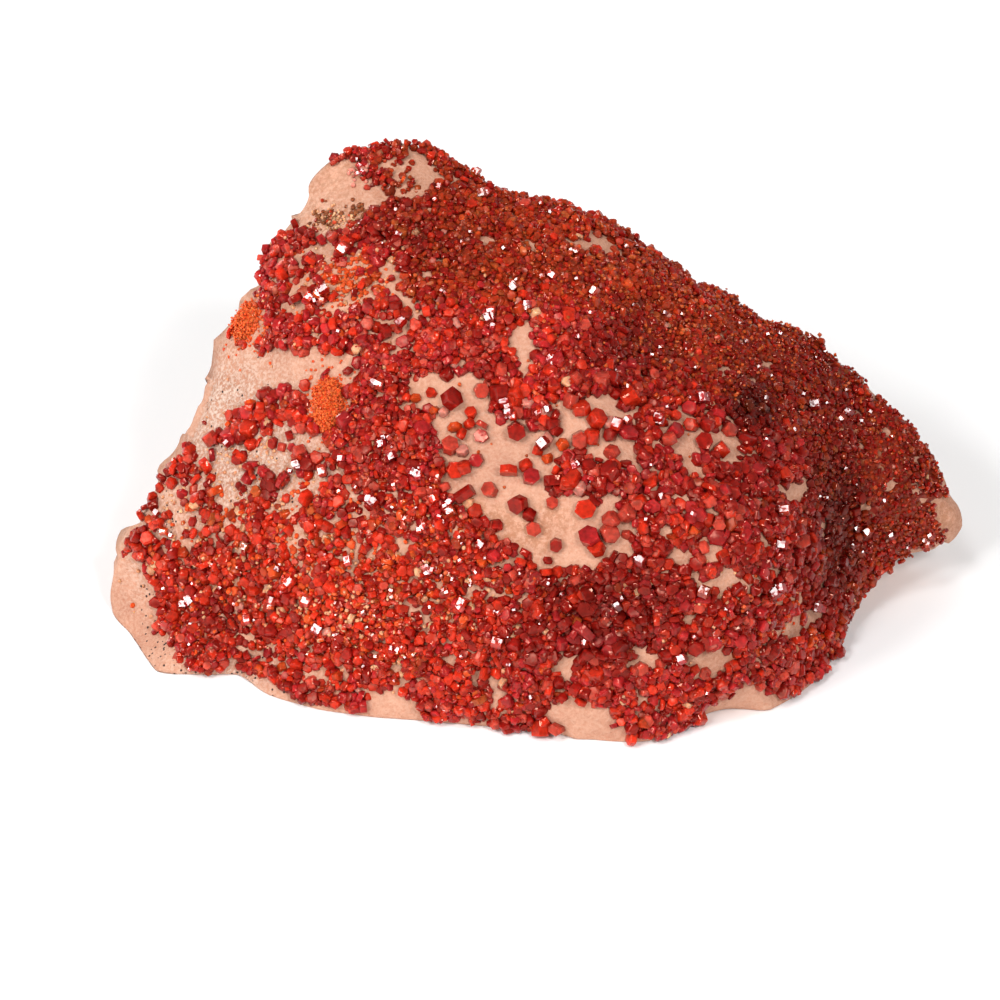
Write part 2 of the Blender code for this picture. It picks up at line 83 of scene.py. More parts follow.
# Bare stone seen through the crust: outlines in u and v.
BARE_PATCHES = {
    "middle": [(-28.4, 76), (-24, 78.5), (-14.7, 79), (-11.5, 76.5), (-9.5, 73), (-9, 68), (-6, 69),
               (0, 68), (3, 71), (8, 73.5), (14, 73.5), (19, 70), (17, 66), (21, 62), (21, 58), (16, 60),
               (10, 61), (4, 60), (3, 53), (9, 52.5), (16, 51), (21, 48), (19, 41), (13, 37.5), (4, 37),
               (-3, 39), (-8, 43), (-11, 48), (-15, 50.5), (-21, 54), (-21, 62), (-24, 69), (-28, 71)],
    "above the middle": [(-6.3, 88), (-1.5, 88.5), (-1.5, 82), (-3, 78), (-6, 82)],
    "right of the middle": [(23, 67), (30, 70.5), (35, 67), (41, 66.5), (45, 64), (41, 58), (33, 60),
                            (25, 61)],
    "right, low": [(36, 37), (42, 39), (44, 34), (41, 29), (37, 32)],
    "right, between": [(26.5, 54), (32.5, 53.8), (32, 51.2), (27, 51.5)],
    "right, low, left": [(24.5, 41.5), (30.5, 41), (30, 37.5), (25, 38)],
    "right, low, middle": [(34, 41.5), (40, 41), (39, 38), (34.5, 38)],
    "low, right of the middle": [(20, 21), (26, 20.5), (25, 17), (20, 17)],
    "right, by the dark band": [(50, 54.5), (57, 57), (57, 51.5), (51, 51)],
    "lower right tongue": [(48, 25), (59, 28.5), (61, 26), (52, 21.5), (47, 22)],
    "low, right": [(31, 18), (40, 21), (42, 17), (36, 14), (30, 15)],
    "foot, right": [(34, 8), (42, 12), (52, 11), (53, 5), (40, 4), (34, 3)],
    "foot, middle": [(2, 8), (8, 10), (17, 7), (19, 1), (6, -1), (1, 3)],
    "low, middle": [(3, 17.5), (7, 18.5), (8, 13), (4, 11.5)],
    "low, left of the middle": [(-13, 15), (-9, 15.5), (-8, 11.5), (-12, 11)],
    "foot, left": [(-38, 9.5), (-31, 11.5), (-26, 9), (-24, 3), (-38, 3)],
    "lower left corner": [(-96, 42), (-87, 40), (-82, 33), (-81, 24), (-75, 17), (-72, 4), (-96, 4)],
    "lower left hem": [(-74, 14), (-60, 15), (-55, 13), (-52, 8), (-74, 8)],
    "left edge": [(-90, 86), (-68.4, 86.1), (-61, 84), (-58.5, 82.5), (-52.6, 82.9), (-46.7, 83.4),
                  (-44, 82.5), (-37.5, 82), (-36.5, 77), (-40, 74.5), (-46, 76), (-50, 74.5),
                  (-58.5, 72.8), (-63.2, 69.3), (-70.5, 67.2), (-75.8, 64), (-90, 62)],
    "shoulder": [(-64, 107), (-52, 109), (-46, 107), (-42, 108), (-36, 111.5), (-33, 116), (-38, 119),
                 (-42, 124), (-44, 132), (-64, 130)],
    "below the shoulder": [(-51, 106), (-45, 105), (-43, 102), (-47, 101)],
    "upper pocket": [(-38, 102), (-31, 101.5), (-29.5, 96), (-27.5, 93), (-31, 93.5), (-34, 97.5)],
    "lower pocket": [(-51, 68), (-46, 69), (-44, 64), (-46, 59), (-50, 59)],
    "top": [(-27, 124), (-25.5, 124), (-23, 119), (-24.5, 117), (-27, 120)],
    "grey patch on the slope": [(5, 106), (11, 108), (15, 105.5), (9, 104)],
    "right tip": [(86, 50), (92, 52), (93, 46), (88, 44)],
}

# All spots are given as u, v, half width, half height and how much. First, looser growth, with
# stone between the crystals.
LOOSE_SPOTS = [
    (-62, 60, 27, 18, 0.76), (-74, 66, 9, 7, 0.3), (-78, 47, 12, 12, 0.6), (-45, 97, 21, 17, 0.84),
    (-27, 120, 10, 9, 0.35), (-30, 86, 9, 8, 0.5), (12, 66, 20, 14, 0.5), (36, 62, 18, 12, 0.4),
    (38, 42, 26, 19, 0.5), (52, 28, 14, 10, 0.4), (5, 7, 60, 7, 0.4), (-50, 16, 26, 9, 0.5),
    (-45, 45, 36, 18, 0.42), (8, 105, 12, 5, 0.3), (88, 48, 6, 6, 0.3), (-20, 30, 60, 24, 0.24),
    (-68, 26, 16, 14, 0.25),
]

# Painted shade: crystals darkened, by the share of light taken away, in valleys and on slopes turned
# from the lamps.
PAINTED_SHADE_SPOTS = [
    (12, 27, 24, 15, 0.45), (18, 84, 11, 11, 0.35), (45, 71, 9, 9, 0.6), (64, 47, 10, 28, 0.55),
    (-30, 110, 20, 14, 0.15), (66, 80, 30, 14, 0.2), (82, 55, 18, 20, 0.15), (-66, 28, 18, 12, 0.1),
    (48, 60, 36, 40, 0.16), (-20, 105, 24, 14, 0.06),
]

# More orange crystals.
ORANGE_SPOTS = [
    (-40, 97, 8, 7, 3), (48, 30, 7, 5, 1), (43, 18, 7, 5, 0.8), (-60, 43, 16, 9, 0.3),
    (-32, 42, 20, 20, 0.25), (2, 13, 8, 6, 0.6), (60, 21, 6, 5, 0.6), (-52, 30, 30, 14, 0.15),
]

# Dark specks in the stone, loose sand, and brown stains on it; the stain spot over the shoulder is
# painted shade.
SPECK_SPOTS = [
    (-82.5, 31, 3, 14, 2), (-78, 20, 7, 7, 1.8), (-60, 13, 12, 5, 1.6), (-68, 76, 14, 10, 0.15),
    (-62, 60, 24, 14, 0.3), (-80, 46, 7, 6, 1.4),
]
SAND_SPOTS = [
    (-70, 74, 22, 14, 1), (-62, 58, 28, 18, 1), (-84, 40, 8, 14, 0.6), (-66, 14, 16, 6, 0.7),
    (-46, 110, 14, 10, 0.3), (48, 28, 14, 10, 0.2),
]
# Brown stains; the last spot, at (-50, 118) over the shoulder, is painted shade.
STAIN_AND_SHADE_SPOTS = [
    (-2, 44, 9, 7, 1.5), (-13, 48, 7, 5, 1.6), (4, 48, 5, 4, 0.9), (-22, 57, 5, 5, 0.9),
    (-45, 110, 8, 8, 0.5), (-68, 74, 14, 10, 0.5), (-25, 73, 8, 6, 0.4), (88, 48, 8, 6, 1),
    (52, 25, 8, 5, 0.4), (40, 18, 8, 6, 0.4), (-60, 56, 18, 14, 0.5), (-50, 118, 18, 16, 0.9),
]

# Where the crust is granular.
GRANULAR_SPOTS = [(-40, 30, 50, 30, 1.2), (-75, 45, 20, 20, 0.8)]

# The slope of fine crystals, as an outline.
FINE_SLOPE = [
    (-36, 140), (-33, 114.5), (-28.4, 95.6), (-14.7, 93.5), (4.2, 93.5), (14.7, 87.1), (23.2, 76),
    (40, 72.4), (52.6, 66.1), (56.8, 51.4), (61, 34.5), (66, 24), (100, 24), (100, 140),
]

# Typical sizes in mm, and departures from them.
MEDIUM_SIZE, FINE_SIZE = 2.6, 2.2
SIZE_SPOTS = [
    (6, 64, 20, 18, 0.7), (16, 22, 30, 18, 0.8), (36, 48, 20, 22, 0.7), (-62, 62, 26, 18, 0.4),
    (-36, 28, 42, 16, -0.2), (-14, 40, 14, 14, -0.2), (-38, 122, 10, 10, -0.6),
    (58, 88, 40, 22, -0.5), (82, 52, 22, 30, -0.6),
]

# Layers of crystals: name, spacing and smallest typical size in mm, share of the typical size,
# cover that they need, share of the vivid tones, and whether their outer edges are bevelled.
CRYSTAL_LAYERS = [
    ("coarse_crystals", 2.35, 2.3, 0.98, -0.2, 0.3, True),
    ("medium_crystals", 1.65, 1.9, 0.84, 0.15, 0.5, True),
    ("fine_crystals", 1, 0, 0.56, 0.25, 1, False),
]

# Orange tufts: CAD node, its u and v, the half width and half height kept free, its grains.
TUFTS = {
    "orange_cluster_upper": (-62, 89.5, 4.4, 4.8, 2200),
    "orange_cluster_lower": (-44.5, 71.5, 4.2, 6.2, 2800),
}

# Single crystals, most of them round the middle patch: u, v, size in mm, height over size, tilt
# and bearing in degrees, and tone.
SCATTERED = [
    (-22.3, 70, 2.2, 0.7, 30, 200, "orange"), (-20.2, 69.6, 2.6, 0.8, 35, 250, "clear"),
    (-12.4, 67.4, 3.4, 0.35, 80, 60, "rose"), (-18.1, 66.7, 3.6, 0.3, 65, 280, "orange"),
    (-16.4, 65.2, 2.8, 0.5, 60, 150, "bright"), (-14.8, 67, 2.6, 0.6, 40, 30, "bright"),
    (-16.3, 61.4, 2.8, 0.7, 20, 100, "clear"), (-16.4, 58.4, 4.2, 0.5, 60, 100, "bright"),
    (-2.6, 48.2, 3.2, 0.6, 50, 250, "deep"), (-2.6, 58.6, 2.8, 0.8, 55, 20, "bright"),
    (15.2, 47.4, 4.2, 0.6, 55, 45, "rose"), (17.8, 48.6, 4.4, 0.6, 50, 40, "rose"),
    (14.6, 44.2, 4.6, 0.5, 25, 320, "rose"), (12.2, 41.6, 3.8, 0.6, 40, 120, "bright"),
    (-8.4, 73.5, 4.8, 0.7, 70, 95, "deep"), (-6, 71.6, 4, 0.6, 35, 200, "bright"),
    (-4.4, 74.2, 4.4, 0.7, 55, 10, "bright"), (-5, 69.7, 3.4, 0.6, 25, 280, "rose"),
    (-2.2, 71.6, 3, 0.7, 40, 90, "clear"), (-0.4, 70, 3.2, 0.7, 30, 330, "deep"),
    (1.5, 70, 3.2, 0.7, 60, 350, "clear"), (2.9, 67.4, 3.4, 0.6, 70, 85, "deep"),
    (2.7, 75.2, 3.8, 0.6, 30, 60, "bright"), (6.4, 71.6, 4.4, 0.45, 45, 180, "rose"),
    (9, 70.4, 4.6, 0.5, 50, 100, "bright"), (11.7, 68.2, 4.4, 0.6, 30, 45, "bright"),
    (14.2, 67.2, 3.4, 0.7, 50, 130, "clear"), (8.4, 63.8, 4.2, 0.6, 25, 300, "rose"),
    (10.8, 64.4, 3.8, 0.7, 60, 80, "bright"), (14.9, 65, 3.4, 0.6, 45, 200, "deep"),
    (2, 63.8, 3, 0.7, 35, 30, "clear"), (3.5, 65.6, 3, 0.6, 55, 330, "deep"),
    (-0.2, 61.6, 3, 0.6, 65, 70, "bright"), (1.3, 59.9, 2.6, 0.6, 40, 220, "orange"),
    (5.3, 62.7, 3, 0.6, 50, 310, "orange"), (3.6, 55, 4.4, 0.5, 75, 95, "deep"),
    (5.8, 55, 4.2, 0.6, 65, 80, "bright"), (8, 57.2, 3.2, 0.7, 30, 10, "clear"),
    (10.2, 58.4, 4, 0.7, 40, 40, "deep"), (8.3, 53.4, 3.4, 0.7, 50, 260, "clear"),
    (6.2, 58.4, 3.4, 0.6, 60, 140, "bright"), (14.8, 57.2, 4.8, 0.8, 45, 120, "deep"),
    (11.9, 56.2, 3.8, 0.6, 70, 15, "rose"), (13.4, 54.1, 5, 0.35, 75, 355, "deep"),
    (-21.9, 53.5, 2.4, 0.5, 40, 200, "orange"), (-25.6, 72.4, 2.6, 0.4, 60, 280, "orange"),
    (-19.6, 49.6, 3.4, 0.6, 55, 60, "deep"), (12.7, 75.7, 4.8, 0.6, 35, 100, "rose"),
    (18.3, 71.8, 4.8, 0.7, 50, 20, "bright"), (26.5, 63.5, 3.4, 0.6, 45, 120, "rose"),
    (31.5, 66.8, 3.2, 0.7, 50, 200, "bright"), (37.4, 61.6, 3.8, 0.6, 40, 30, "bright"),
    (43, 63.4, 3.6, 0.7, 60, 290, "deep"), (-60.8, 66.8, 4.4, 0.6, 30, 60, "bright"),
    (-62.6, 65, 3.8, 0.6, 40, 220, "deep"), (-69.6, 64.6, 3.6, 0.7, 45, 120, "rose"),
    (-74.2, 61.8, 3.4, 0.5, 70, 10, "bright"), (-52, 69.8, 3.6, 0.6, 40, 300, "bright"),
    (-47.6, 66.4, 3.4, 0.6, 50, 30, "bright"), (0.8, 4.2, 4.6, 0.7, 40, 270, "bright"),
    (4, 4, 3.4, 0.7, 35, 80, "rose"), (-40, 78.5, 2.4, 0.6, 45, 10, "deep"),
]

# Where a crystal's side mirrors a lamp to the camera: u and v. Smaller ones are drawn at random,
# most of them round the spot.
SMALL_SPARKLES = 220
SPARKLE_SPOT = (-34, 42, 60, 36, 2)
SPARKLES = [
    (-81.5, 49), (-78.9, 43.8), (-61, 42.7), (-51.2, 58.1), (-53.7, 37.3), (-50.7, 34.5), (-73.5, 29.3),
    (-55.6, 29.7), (-60.2, 27.2), (-73.9, 20.8), (-45.9, 24.8), (-30.1, 20.4), (-30.5, 59.6),
    (-32.2, 63.6), (-41.5, 61), (-45.3, 57.9), (-35.2, 51.4), (-65, 62.3), (-6.9, 70.9), (-5.7, 69),
    (-0.8, 69.7), (1.1, 69.3), (1.9, 63.8), (14.7, 67.1), (17.9, 67.1), (2.3, 80), (-10.5, 89.7),
    (-9.5, 86.3), (-6.5, 95.4), (-2.5, 91.8), (10.1, 93.9), (-28.4, 87.6), (-25.3, 56.4), (-19.4, 49.9),
    (6.7, 58.1), (-32, 63.4), (-12.6, 41.9), (-21.5, 51.2), (-23.6, 45.5), (47.2, 63.4), (48.2, 41.5),
    (47.8, 32.8), (57, 28.4), (68.4, 45.7), (64.4, 68.8), (57, 70.7), (82.5, 43.8), (23.6, 67.1),
    (33.7, 71.8), (24.4, 52.8), (31.2, 48.6), (36.8, 23.2), (29.9, 18.9), (62.7, 38.7), (74.9, 45.9),
    (49.9, 48.8), (-40.4, 102.7), (-45, 94.1), (-47.2, 93.7), (-29.7, 113), (-28.8, 106.7),
    (-22.3, 116.2), (-14.9, 119.6), (-12.4, 115.8), (-3.6, 113.7), (1.9, 112.2), (6.5, 103.4),
    (1.3, 98.1), (-6.3, 95.6), (-37.9, 121), (-33.7, 75.4), (0, 27.2), (10.5, 21.9), (16.8, 30.3),
    (21.1, 38.7), (33.7, 32.4), (-8.4, 21.9), (-16.8, 30.3), (-23.2, 36.6), (-40, 38.7), (-48.4, 30.3),
]

# Dustings of fine grains: u, v, half width, half height, count, smallest and largest size in mm,
# and tone.
DUSTINGS = [
    (-45.3, 111.1, 3.6, 2.4, 70, 0.5, 1, "umber"), (-38.6, 112.4, 2.6, 2.6, 40, 0.6, 1.2, "umber"),
    (-43.5, 111.1, 5, 3.4, 60, 0.5, 0.9, "sand"), (-43.5, 111.1, 5, 3.4, 12, 0.6, 1.1, "brown"),
    (-38.2, 121.5, 2.4, 2, 14, 0.8, 1.3, "clear"), (-46, 32, 36, 16, 420, 0.5, 1.1, "sand"),
    (-64, 56, 26, 16, 200, 0.5, 1, "sand"), (40, 30, 16, 10, 80, 0.5, 1, "sand"),
    (-44, 95, 18, 12, 120, 0.5, 1, "sand"), (-40, 98, 8, 7, 240, 0.6, 1.2, "orange"),
    (-48, 38, 30, 16, 520, 0.6, 1.3, "orange"), (48, 29, 7, 5, 90, 0.6, 1.1, "orange"),
    (-44.5, 71.5, 6.6, 9, 300, 0.4, 0.8, "tufted"), (-62, 89.5, 6.6, 7.2, 240, 0.4, 0.8, "tufted"),
    (30, 90, 50, 30, 420, 0.5, 1, "amber"),
]

# Soft lamps: place in metres and power in watts. The first few are those that the glints mirror.
LAMPS = [
    (-1.5, -1, 1.7, 15), (-1.1, -1.6, 1.7, 19), (-0.6, -0.8, 2.4, 12), (-1.9, -1.5, 0.9, 10),
    (0.9, -1.7, 1.9, 33), (-1.5, 1.7, 0.8, 14),
]
MIRRORED_LAMPS = 3
LAMP_SIZE = 0.5                 # side in metres
FLOOR_RADIUS, FLOOR_SIDES = 1.2, 96  # radius in metres
PICTURE_MIDDLE = (-8.42, 51.36) # u and v at the middle of the picture
PICTURE_WIDTH = 210.5           # width seen at the face plane
CAMERA_DISTANCE = 1400.0
SENSOR_WIDTH = 36.0


def srgb(red, green, blue):
    """A display colour of 0 to 255 as linear light, with full opacity."""
    shares = np.array((red, green, blue)) / 255.0
    linear = np.where(shares <= 0.04045, shares / 12.92, ((shares + 0.055) / 1.055) ** 2.4)
    return (*linear, 1.0)


# The rose tone is a pinker red that partly stands for painted sheen: the pink of faces mirroring soft
# light.
TONES = {
    "deep": srgb(150, 22, 15), "bright": srgb(198, 43, 21), "rose": srgb(194, 66, 50),
    "orange": srgb(214, 76, 30), "clear": srgb(206, 128, 112), "brown": srgb(168, 51, 21),
    "amber": srgb(180, 78, 34), "sand": srgb(216, 150, 112), "tufted": srgb(255, 88, 40),
    "umber": srgb(126, 68, 38), "crimson": srgb(172, 34, 36),
}
STONE_TONES = {
    "dark cloud": srgb(172, 108, 80), "pale cloud": srgb(211, 151, 121), "grain": srgb(230, 192, 168),
    "stain_and_shade": srgb(168, 108, 72), "sand": srgb(232, 208, 192), "speck": srgb(58, 34, 26),
}
CRYSTAL_SHEEN = (1.0, 0.56, 0.42, 1.0)
PAINTED_ROOT_SHADE = 0.7                # painted shade: how much darker a crystal's root is than its outer end

# Shares of the tones on the fine slope, in the granular crust and elsewhere.
TONE_SHARES = {
    "deep": (0.2, 0.26, 0.3), "crimson": (0.0, 0.0, 0.3), "bright": (0.12, 0.5, 0.24),
    "rose": (0.03, 0.08, 0.14), "orange": (0.03, 0.08, 0.01), "clear": (0.006, 0.012, 0.006),
    "brown": (0.62, 0.04, 0.02), "amber": (0.05, 0.02, 0.0), "sand": (0.1, 1.0, 0.4),
}


def to_space(face_points):
    """Face coordinates in mm to metres: v and w are turned back by the lean of the face."""
    u, v, w = np.moveaxis(np.asarray(face_points, dtype=float), -1, 0)
    y = v * LEAN_SIN - w * LEAN_COS + FACE_FOOT[1]
    z = v * LEAN_COS + w * LEAN_SIN
    return np.stack([u + FACE_FOOT[0], y, z], axis=-1) * MM


def to_face(points):
    """Metres to face coordinates in mm: y and z are turned by the lean of the face."""
    x, y, z = np.moveaxis(points / MM, -1, 0)
    y = y - FACE_FOOT[1]
    return x - FACE_FOOT[0], y * LEAN_SIN + z * LEAN_COS, z * LEAN_SIN - y * LEAN_COS


EYE = to_space((*PICTURE_MIDDLE, CAMERA_DISTANCE))


def unit(vectors):
    """Vectors divided by their lengths."""
    return vectors / np.maximum(np.linalg.norm(vectors, axis=-1, keepdims=True), 1e-12)


def noise(points, size, seed):
    """Value noise from -1 to 1: random numbers on a cubic lattice with cells of that size in
    metres, blended between the eight corners of a cell by smooth steps 3t^2 - 2t^3."""
    table = np.random.default_rng(seed).random((LATTICE, LATTICE, LATTICE))
    place = points / size
    cell = np.floor(place).astype(int)
    ease = (place - cell) ** 2 * (3.0 - 2.0 * (place - cell))
    total = np.zeros(len(points))
    for corner in np.ndindex(2, 2, 2):
        weight = np.prod(np.where(corner, ease, 1.0 - ease), axis=1)
        total += weight * table[tuple(((cell + corner) % LATTICE).T)]
    return 2.0 * total - 1.0


def layered_noise(points, size, seed, layers=3):
    """Sum of noises, each layer half the size and half the height of the one before."""
    return sum(noise(points, size / 2**k, seed + k) / 2**k for k in range(layers))


def chipped(points, seed):
    """Height in mm of a chipped surface: the lowest of many shallow tilted bowls round random
    middles. With d the way from its middle, a bowl's height is tilt . d + |d|^2 / CHIP_RADIUS."""
    draw = np.random.default_rng(seed)
    place = points / MM
    middles = place[draw.choice(len(place), CHIPS, replace=False)]
    tilts = draw.uniform(-CHIP_TILT, CHIP_TILT, middles.shape)
    slopes = tilts - 2.0 * middles / CHIP_RADIUS
    starts = np.sum(middles**2 / CHIP_RADIUS - tilts * middles, axis=1)
    return np.min(place @ slopes.T + starts, axis=1) + np.sum(place**2, axis=1) / CHIP_RADIUS


def inside_distance(u, v, outline):
    """Signed distance in mm to a closed outline, positive inside. The distance is the shortest
    one to any side, and a point is inside if a level ray from it crosses an odd number of sides."""
    ends = np.array(outline, dtype=float)
    starts = np.roll(ends, 1, axis=0)
    nearest = np.full(len(u), np.inf)
    crossings = np.zeros(len(u), dtype=int)
    for (su, sv), (eu, ev) in zip(starts, ends):
        du, dv = eu - su, ev - sv
        share = np.clip(((u - su) * du + (v - sv) * dv) / (du * du + dv * dv), 0.0, 1.0)
        nearest = np.minimum(nearest, np.hypot(u - su - share * du, v - sv - share * dv))
        spans = (sv > v) != (ev > v)
        crossings += spans & (u < su + (v - sv) * du / (dv if dv else 1.0))
    return np.where(crossings % 2 == 1, nearest, -nearest)


def spots(u, v, places):
    """Sum of bells exp(-2 r^2), where r is 1 at each spot's half width and half height."""
    total = np.zeros(len(u))
    for middle_u, middle_v, half_width, half_height, amount in places:
        squared = ((u - middle_u) / half_width) ** 2 + ((v - middle_v) / half_height) ** 2
        total += amount * np.exp(-2.0 * squared)
    return total


def crust_cover(points):
    """How well the crust covers a point of the front: single crystals stand where it is about 0,
    and above BED_COVER the bed joins them. It is OPEN_COVER less the loose spots, it falls steadily
    into a bare patch or a tuft's room, and a noise from 0 to 1 of about 3 mm is taken away."""
    u, v, _ = to_face(points)
    bare = np.max([inside_distance(u, v, outline) for outline in BARE_PATCHES.values()], axis=0)
    cover = np.minimum(OPEN_COVER - spots(u, v, LOOSE_SPOTS), PATCH_COVER - bare / PATCH_FADE)
    tufts = [np.hypot((u - tu) / half_width, (v - tv) / half_height) - 1.0
             for tu, tv, half_width, half_height, _ in TUFTS.values()]
    cover = np.minimum(cover, TUFT_COVER + 2.0 * np.min(tufts, axis=0))
    return cover - (0.5 + 0.5 * layered_noise(points, 3.0 * MM, 11, 2))


def bed_rise(cover):
    """Share of the bed's full height: 0 at BED_COVER, rising to 1 at a quarter more."""
    return np.clip((cover - BED_COVER) * 4.0, 0.0, 1.0)


def typical_size(points):
    """Size across corners in mm: fine on the slope, blended over 6 mm into the medium size, and
    raised or lowered by the size spots."""
    u, v, _ = to_face(points)
    fine = np.clip(0.5 + inside_distance(u, v, FINE_SLOPE) / 6.0, 0.0, 1.0)
    return FINE_SIZE * fine + MEDIUM_SIZE * (1.0 - fine) + spots(u, v, SIZE_SPOTS)


def cad_surface(node):
    """Corner points and triangles of a CAD node, the loose triangles' shared corners merged."""
    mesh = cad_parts[node].data
    mesh.calc_loop_triangles()
    points = np.empty(len(mesh.vertices) * 3)
    mesh.vertices.foreach_get("co", points)
    triangles = np.empty(len(mesh.loop_triangles) * 3, dtype=np.int32)
    mesh.loop_triangles.foreach_get("vertices", triangles)
    points = points.reshape(-1, 3)
    keys = np.round(points / (MM * 0.001)).astype(np.int64)
    _, first, index = np.unique(keys, axis=0, return_index=True, return_inverse=True)
    return points[first], index.reshape(-1)[triangles].reshape(-1, 3)


def corner_normals(points, triangles):
    """Outward direction at each point: the sum of the area vectors of the triangles round it."""
    a, b, c = (points[triangles[:, k]] for k in range(3))
    area_vectors = np.cross(b - a, c - a)
    total = np.zeros_like(points)
    for k in range(3):
        np.add.at(total, triangles[:, k], area_vectors)
    return unit(total)


def curved_facets(points, triangles, rows):
    """Curved version of a faceted body. Each facet becomes a cubic patch over its barycentric
    coordinates (s, t, r): the corner points times s^3, t^3, r^3, six edge points that lie in
    the planes square to the corner normals, and one middle point. It is read on a triangular grid
    of that many rows, and neighbouring grids share the points of their common edge."""
    normals = corner_normals(points, triangles)
    p = points[triangles]
    n = normals[triangles]

    def edge_point(a, b):
        step = p[:, b] - p[:, a]
        rise = np.sum(step * n[:, a], axis=1, keepdims=True)
        return (2.0 * p[:, a] + p[:, b] - rise * n[:, a]) / 3.0

    pairs = [(0, 1), (1, 0), (1, 2), (2, 1), (2, 0), (0, 2)]
    edge_points = {pair: edge_point(*pair) for pair in pairs}
    edge_mean = sum(edge_points.values()) / 6.0
    middle = edge_mean + (edge_mean - p.mean(axis=1)) / 2.0

    i, j = (grid.ravel() for grid in np.meshgrid(range(rows + 1), range(rows + 1), indexing="ij"))
    inside = i + j <= rows
    counts = np.stack([i[inside], j[inside], rows - i[inside] - j[inside]], axis=1)
    share = counts / rows
    patch = sum(share[None, :, k, None] ** 3 * p[:, None, k] for k in range(3))
    for (a, b), point in edge_points.items():
        patch = patch + 3.0 * (share[:, a] ** 2 * share[:, b])[None, :, None] * point[:, None]
    patch = patch + 6.0 * share.prod(axis=1)[None, :, None] * middle[:, None]

    keys = np.where(counts[None] > 0, triangles[:, None] * (rows + 1) + counts[None], -1)
    keys = np.sort(keys, axis=2).reshape(-1, 3)
    _, first, index = np.unique(keys, axis=0, return_index=True, return_inverse=True)
    index = index.reshape(len(triangles), -1)

    slots = np.full((rows + 2, rows + 2), -1)
    slots[counts[:, 0], counts[:, 1]] = np.arange(len(counts))
    i, j = counts[counts[:, 2] > 0].T[:2]
    up = np.stack([slots[i + 1, j], slots[i, j + 1], slots[i, j]], axis=1)
    i, j = counts[counts[:, 2] > 1].T[:2]
    down = np.stack([slots[i + 1, j + 1], slots[i, j + 1], slots[i + 1, j]], axis=1)
    small = index[:, np.concatenate([up, down])].reshape(-1, 3)
    return patch.reshape(-1, 3)[first], small


def add_object(name, data):
    """A new object in the scene."""
    new = bpy.data.objects.new(name, data)
    bpy.context.scene.collection.objects.link(new)
    return new


def make_piece(name, points, faces, material, tint):
    """Mesh object from arrays. faces is a list of index arrays, one for each number of corners.
    tint is one colour per point, kept as the mesh's own colours. Six-sided faces are marked as
    the end faces of crystals."""
    mesh = bpy.data.meshes.new(name)
    loops = np.concatenate([block.ravel() for block in faces]).astype(np.int32)
    sizes = np.concatenate([np.full(len(block), block.shape[1]) for block in faces])
    mesh.vertices.add(len(points))
    mesh.vertices.foreach_set("co", points.astype(np.float32).ravel())
    mesh.loops.add(len(loops))
    mesh.loops.foreach_set("vertex_index", loops)
    mesh.polygons.add(len(sizes))
    mesh.polygons.foreach_set("loop_start", (np.cumsum(sizes) - sizes).astype(np.int32))
    mesh.polygons.foreach_set("use_smooth", np.full(len(sizes), True))
    mesh.update(calc_edges=True)
    layer = mesh.color_attributes.new("tint", "FLOAT_COLOR", "POINT")
    colours = np.ones((len(points), 4), dtype=np.float32)
    colours[:, :3] = tint[:, :3]
    layer.data.foreach_set("color", colours.ravel())
    dull = mesh.attributes.new("end_face", "FLOAT", "FACE")
    dull.data.foreach_set("value", (sizes == 6).astype(np.float32))
    mesh.materials.append(material)
    piece = add_object(name, mesh)
    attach(piece, "root")
    return piece


def hexagon_rings(reaches, heights, insets):
    """Corner points of crystals, as (crystal, ring, corner, xyz). The six sides of a crystal keep
    angles of 120 degrees: side k has its normal at 60k degrees and the distance reaches[k], and
    corner k is where sides k and k + 1 meet. heights and insets give each ring's level and how
    far its sides are drawn in, both as (crystal, ring)."""
    turn = np.arange(6) * math.pi / 3.0
    normals = np.stack([np.cos(turn), np.sin(turn)], axis=1)
    along = np.stack([-np.sin(turn), np.cos(turn)], axis=1)
    sides = reaches[:, None, :] - insets[:, :, None]
    following = np.roll(sides, -1, axis=2)
    slide = (following - sides * math.cos(math.pi / 3.0)) / math.sin(math.pi / 3.0)
    flat = sides[..., None] * normals + slide[..., None] * along
    level = np.broadcast_to(heights[:, :, None, None], flat.shape[:3] + (1,))
    return np.concatenate([flat, level], axis=3)


def stacked_faces(count, rings):
    """Faces of that many stacks of six-cornered rings: quads between rings and a hexagon at
    each end, all facing outwards."""
    corner = np.arange(6)
    following = np.roll(corner, -1)
    band = np.stack([corner, following, following + 6, corner + 6], axis=1)
    quads = np.concatenate([band + 6 * k for k in range(rings - 1)])
    ends = np.stack([corner[::-1], corner + 6 * (rings - 1)])
    starts = (np.arange(count) * 6 * rings)[:, None, None]
    return [(quads + starts).reshape(-1, 4), (ends + starts).reshape(-1, 6)]


def random_directions(count):
    """Directions spread evenly over a ball."""
    return unit(rng.normal(size=(count, 3)))


def tilted_axes(normals, tilts, bearings):
    """Directions leaning away from the normals by the tilts, towards the bearings, which are
    measured in the face from its +u. All angles are in degrees."""
    tilts = np.radians(tilts)[:, None]
    bearings = np.radians(bearings)[:, None]
    right = unit(np.cross(to_space((0.0, 1.0, 0.0)) - to_space((0.0, 0.0, 0.0)), normals))
    upwards = np.cross(normals, right)
    sideways = right * np.cos(bearings) + upwards * np.sin(bearings)
    return normals * np.cos(tilts) + sideways * np.sin(tilts)


